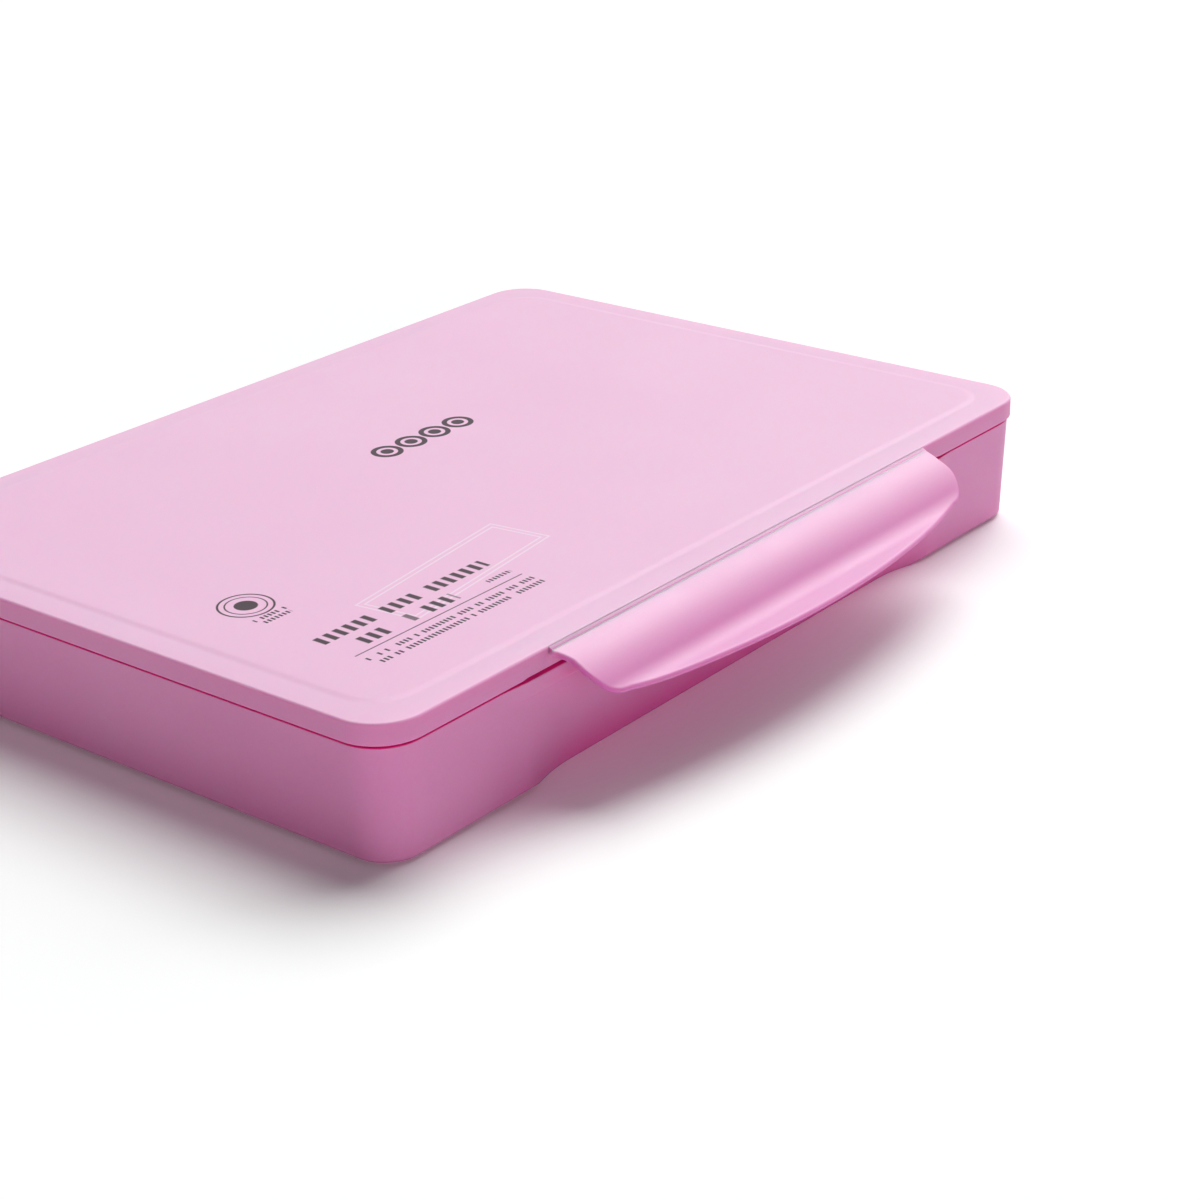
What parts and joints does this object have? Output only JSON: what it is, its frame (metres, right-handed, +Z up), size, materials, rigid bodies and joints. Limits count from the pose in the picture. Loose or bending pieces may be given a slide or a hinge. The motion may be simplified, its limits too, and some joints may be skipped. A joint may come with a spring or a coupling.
{
  "type": "gouache paint set box",
  "caption": "Flat hinged plastic case with a half-moon latch flap along its front, holding a grid of film-sealed square gouache cups and a mixing palette clipped in the lid.",
  "frame": {"origin": "on the table under the centre of the closed box, latch flap and hinges included", "axes": "+X along the long front edge, -Y towards the latch flap, +Z up"},
  "size_m": [0.335, 0.273, 0.0449],
  "materials": {
    "case_plastic": "fine satin moulded polypropylene in pastel pink",
    "palette_plastic": "smooth white moulded plastic",
    "pin_plastic": "moulded pin in the case's pink",
    "cup_plastic": "cloudy white moulded plastic",
    "film": "thin clear sealing film",
    "gouache_white": "soft matt gouache, white",
    "gouache_lemon_yellow": "soft matt gouache, lemon yellow",
    "gouache_warm_yellow": "soft matt gouache, warm yellow",
    "gouache_orange": "soft matt gouache, orange",
    "gouache_vermilion": "soft matt gouache, vermilion",
    "gouache_crimson": "soft matt gouache, crimson",
    "gouache_rose_pink": "soft matt gouache, rose pink",
    "gouache_magenta": "soft matt gouache, magenta",
    "gouache_violet": "soft matt gouache, violet",
    "gouache_lilac": "soft matt gouache, lilac",
    "gouache_ultramarine": "soft matt gouache, ultramarine",
    "gouache_cobalt_blue": "soft matt gouache, cobalt blue",
    "gouache_sky_blue": "soft matt gouache, sky blue",
    "gouache_turquoise": "soft matt gouache, turquoise",
    "gouache_mint": "soft matt gouache, mint",
    "gouache_deep_green": "soft matt gouache, deep green",
    "gouache_leaf_green": "soft matt gouache, leaf green",
    "gouache_yellow_green": "soft matt gouache, yellow green",
    "gouache_yellow_ochre": "soft matt gouache, yellow ochre",
    "gouache_skin_tone": "soft matt gouache, skin tone",
    "gouache_red_brown": "soft matt gouache, red brown",
    "gouache_dark_brown": "soft matt gouache, dark brown",
    "gouache_cool_grey": "soft matt gouache, cool grey",
    "gouache_black": "soft matt gouache, black"
  },
  "bodies": {
    "base": {"base_tray": "case_plastic", "hinge_pin_left": "pin_plastic", "hinge_pin_right": "pin_plastic", "cup_row_1_column_1": "cup_plastic", "cup_row_1_column_2": "cup_plastic", "cup_row_1_column_3": "cup_plastic", "cup_row_1_column_4": "cup_plastic", "cup_row_1_column_5": "cup_plastic", "cup_row_1_column_6": "cup_plastic", "cup_row_2_column_1": "cup_plastic", "cup_row_2_column_2": "cup_plastic", "cup_row_2_column_3": "cup_plastic", "cup_row_2_column_4": "cup_plastic", "cup_row_2_column_5": "cup_plastic", "cup_row_2_column_6": "cup_plastic", "cup_row_3_column_1": "cup_plastic", "cup_row_3_column_2": "cup_plastic", "cup_row_3_column_3": "cup_plastic", "cup_row_3_column_4": "cup_plastic", "cup_row_3_column_5": "cup_plastic", "cup_row_3_column_6": "cup_plastic", "cup_row_4_column_1": "cup_plastic", "cup_row_4_column_2": "cup_plastic", "cup_row_4_column_3": "cup_plastic", "cup_row_4_column_4": "cup_plastic", "cup_row_4_column_5": "cup_plastic", "cup_row_4_column_6": "cup_plastic", "paint_row_1_column_1": "gouache_white", "paint_row_1_column_2": "gouache_lemon_yellow", "paint_row_1_column_3": "gouache_warm_yellow", "paint_row_1_column_4": "gouache_orange", "paint_row_1_column_5": "gouache_vermilion", "paint_row_1_column_6": "gouache_crimson", "paint_row_2_column_1": "gouache_rose_pink", "paint_row_2_column_2": "gouache_magenta", "paint_row_2_column_3": "gouache_violet", "paint_row_2_column_4": "gouache_lilac", "paint_row_2_column_5": "gouache_ultramarine", "paint_row_2_column_6": "gouache_cobalt_blue", "paint_row_3_column_1": "gouache_sky_blue", "paint_row_3_column_2": "gouache_turquoise", "paint_row_3_column_3": "gouache_mint", "paint_row_3_column_4": "gouache_deep_green", "paint_row_3_column_5": "gouache_leaf_green", "paint_row_3_column_6": "gouache_yellow_green", "paint_row_4_column_1": "gouache_yellow_ochre", "paint_row_4_column_2": "gouache_skin_tone", "paint_row_4_column_3": "gouache_red_brown", "paint_row_4_column_4": "gouache_dark_brown", "paint_row_4_column_5": "gouache_cool_grey", "paint_row_4_column_6": "gouache_black", "film_lids_row_1": "film", "film_lids_row_2": "film", "film_lids_row_3": "film", "film_lids_row_4": "film"},
    "lid": {"lid": "case_plastic", "mixing_palette": "palette_plastic"},
    "latch_flap": {"latch_flap": "case_plastic"}
  },
  "joints": [
    {"name": "lid_hinge", "type": "hinge", "parent": "base", "child": "lid", "pos_m": [0, 0.13355, 0.0366], "axis": [-1, 0, 0], "range_deg": [0, 110]},
    {"name": "flap_hinge", "type": "hinge", "parent": "lid", "child": "latch_flap", "pos_m": [0, -0.10725, 0.0424], "axis": [-1, 0, 0], "range_deg": [0, 100]}
  ]
}
